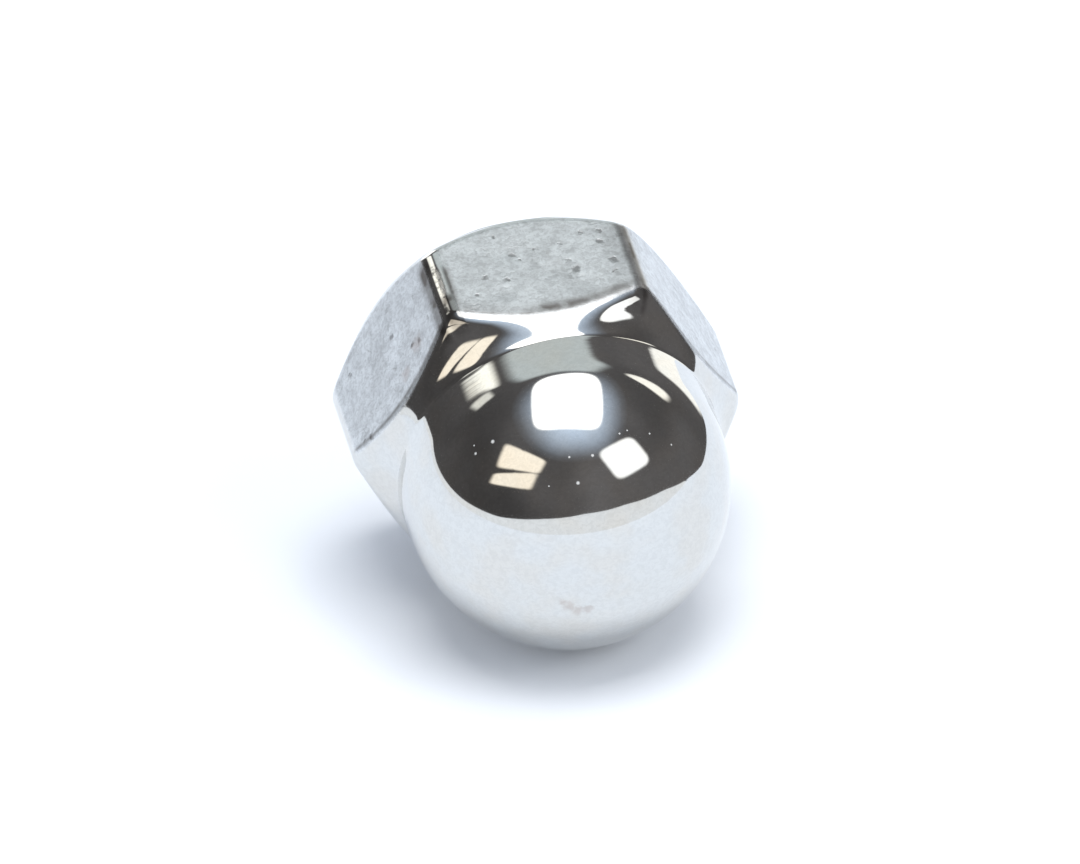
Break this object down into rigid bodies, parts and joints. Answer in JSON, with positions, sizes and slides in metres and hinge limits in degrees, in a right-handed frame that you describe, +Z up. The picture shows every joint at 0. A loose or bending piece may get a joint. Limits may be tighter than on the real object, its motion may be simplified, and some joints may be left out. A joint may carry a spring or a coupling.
{
  "type": "cap nut",
  "caption": "Domed cap nut: a chamfered hexagon with a closed crown over a blind threaded hole, made in one piece.",
  "frame": {"origin": "the middle of the lying nut's bounding box, on the surface that it lies on", "axes": "+Z up, -Y towards the crown, +X to the right seen from the crown; the nut's own axis lies in the YZ plane, 8.9 degrees below level towards the crown"},
  "size_m": [0.0126, 0.0126, 0.0117],
  "materials": {
    "bright_plate": "bright plate on steel: polished crown, chamfer and neck, satin flats with small pits"
  },
  "bodies": {
    "root": {"cap_nut": "bright_plate"}
  },
  "joints": []
}
